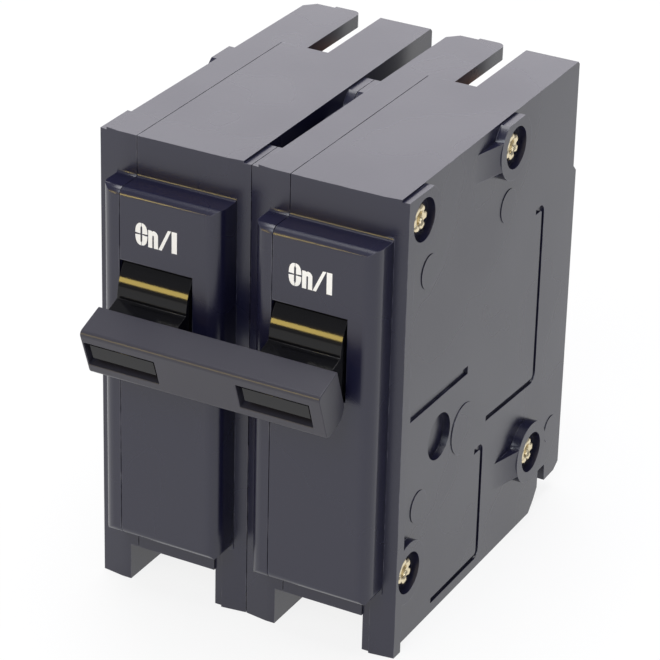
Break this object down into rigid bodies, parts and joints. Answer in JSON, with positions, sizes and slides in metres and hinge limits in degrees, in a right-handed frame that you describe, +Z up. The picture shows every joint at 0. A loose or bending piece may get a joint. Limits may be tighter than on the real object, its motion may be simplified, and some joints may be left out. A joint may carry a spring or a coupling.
{
  "type": "two-pole plug-on circuit breaker",
  "caption": "Plug-on miniature circuit breaker with two poles, tied handles, common trip, stab jaws at the rear and screw lugs below",
  "frame": {"origin": "on the floor, midway between the poles and midway from front to back of the whole", "axes": "+X right across the poles, +Y from the handles to the line jaws, +Z up"},
  "size_m": [0.0508, 0.075, 0.0748],
  "materials": {
    "case": "moulded thermoset, semi-gloss black",
    "handle": "fine matte moulded black",
    "copper": "bare copper alloy, slightly dulled",
    "silver": "silver contact alloy",
    "steel": "plated steel",
    "spring_steel": "drawn spring wire",
    "bimetal": "rolled strip, heat tinted",
    "brass": "turned brass",
    "lug": "tin-plated aluminium",
    "zinc": "zinc-plated steel",
    "rivet_brass": "pale brass plate, clinched ends bright"
  },
  "bodies": {
    "case": {"base_left": "case", "cover_left": "case", "cradle_pin_left": "steel", "line_jaw_left": "copper", "fixed_contact_left": "silver", "arc_chute_left": "steel", "bimetal_left": "bimetal", "magnet_yoke_left": "steel", "load_strap_left": "copper", "calibration_screw_left": "brass", "braid_left": "copper", "terminal_lug_left": "lug", "base_right": "case", "cover_right": "case", "cradle_pin_right": "steel", "line_jaw_right": "copper", "fixed_contact_right": "silver", "arc_chute_right": "steel", "bimetal_right": "bimetal", "magnet_yoke_right": "steel", "load_strap_right": "copper", "calibration_screw_right": "brass", "braid_right": "copper", "terminal_lug_right": "lug", "rivets": "rivet_brass"},
    "handles": {"handle_left": "handle", "arm_pin_left": "steel", "handle_right": "handle", "arm_pin_right": "steel", "handle_tie": "handle"},
    "trip_bar": {"trip_bar": "steel"},
    "arm_left": {"contact_arm_left": "copper", "moving_contact_left": "silver"},
    "cradle_left": {"cradle_left": "steel", "toggle_spring_left": "spring_steel"},
    "armature_left": {"armature_left": "steel"},
    "screw_left": {"terminal_screw_left": "zinc"},
    "arm_right": {"contact_arm_right": "copper", "moving_contact_right": "silver"},
    "cradle_right": {"cradle_right": "steel", "toggle_spring_right": "spring_steel"},
    "armature_right": {"armature_right": "steel"},
    "screw_right": {"terminal_screw_right": "zinc"}
  },
  "joints": [
    {"name": "handle_hinge", "type": "hinge", "parent": "case", "child": "handles", "pos_m": [0, -0.02025, 0.0509], "axis": [-1, 0, 0], "range_deg": [0, 35]},
    {"name": "trip_bar_hinge", "type": "hinge", "parent": "case", "child": "trip_bar", "pos_m": [0, 0.00625, 0.031], "axis": [-1, 0, 0], "range_deg": [0, 9]},
    {"name": "arm_hinge_left", "type": "hinge", "parent": "handles", "child": "arm_left", "pos_m": [-0.0125, -0.01273, 0.05364], "axis": [1, 0, 0], "range_deg": [0, 59.2], "deforming": ["toggle_spring_left", "braid_left"]},
    {"name": "cradle_hinge_left", "type": "hinge", "parent": "case", "child": "cradle_left", "pos_m": [-0.01565, -0.00675, 0.0665], "axis": [-1, 0, 0], "range_deg": [0, 8]},
    {"name": "armature_hinge_left", "type": "hinge", "parent": "case", "child": "armature_left", "pos_m": [-0.0128, 0.01075, 0.023], "axis": [-1, 0, 0], "range_deg": [0, 4]},
    {"name": "terminal_screw_slide_left", "type": "slide", "parent": "case", "child": "screw_left", "axis": [0, -1, 0], "range_m": [0, 0.0035]},
    {"name": "arm_hinge_right", "type": "hinge", "parent": "handles", "child": "arm_right", "pos_m": [0.0129, -0.01273, 0.05364], "axis": [1, 0, 0], "range_deg": [0, 59.2], "deforming": ["toggle_spring_right", "braid_right"]},
    {"name": "cradle_hinge_right", "type": "hinge", "parent": "case", "child": "cradle_right", "pos_m": [0.00975, -0.00675, 0.0665], "axis": [-1, 0, 0], "range_deg": [0, 8]},
    {"name": "armature_hinge_right", "type": "hinge", "parent": "case", "child": "armature_right", "pos_m": [0.0126, 0.01075, 0.023], "axis": [-1, 0, 0], "range_deg": [0, 4]},
    {"name": "terminal_screw_slide_right", "type": "slide", "parent": "case", "child": "screw_right", "axis": [0, -1, 0], "range_m": [0, 0.0035]}
  ],
  "couplings": [
    {"joint": "arm_hinge_left", "follows": "handle_hinge", "ratio": 1.6914},
    {"joint": "cradle_hinge_left", "follows": "trip_bar_hinge", "ratio": 0.88889},
    {"joint": "armature_hinge_left", "follows": "trip_bar_hinge", "ratio": 0.44444},
    {"joint": "arm_hinge_right", "follows": "handle_hinge", "ratio": 1.6914},
    {"joint": "cradle_hinge_right", "follows": "trip_bar_hinge", "ratio": 0.88889},
    {"joint": "armature_hinge_right", "follows": "trip_bar_hinge", "ratio": 0.44444}
  ]
}
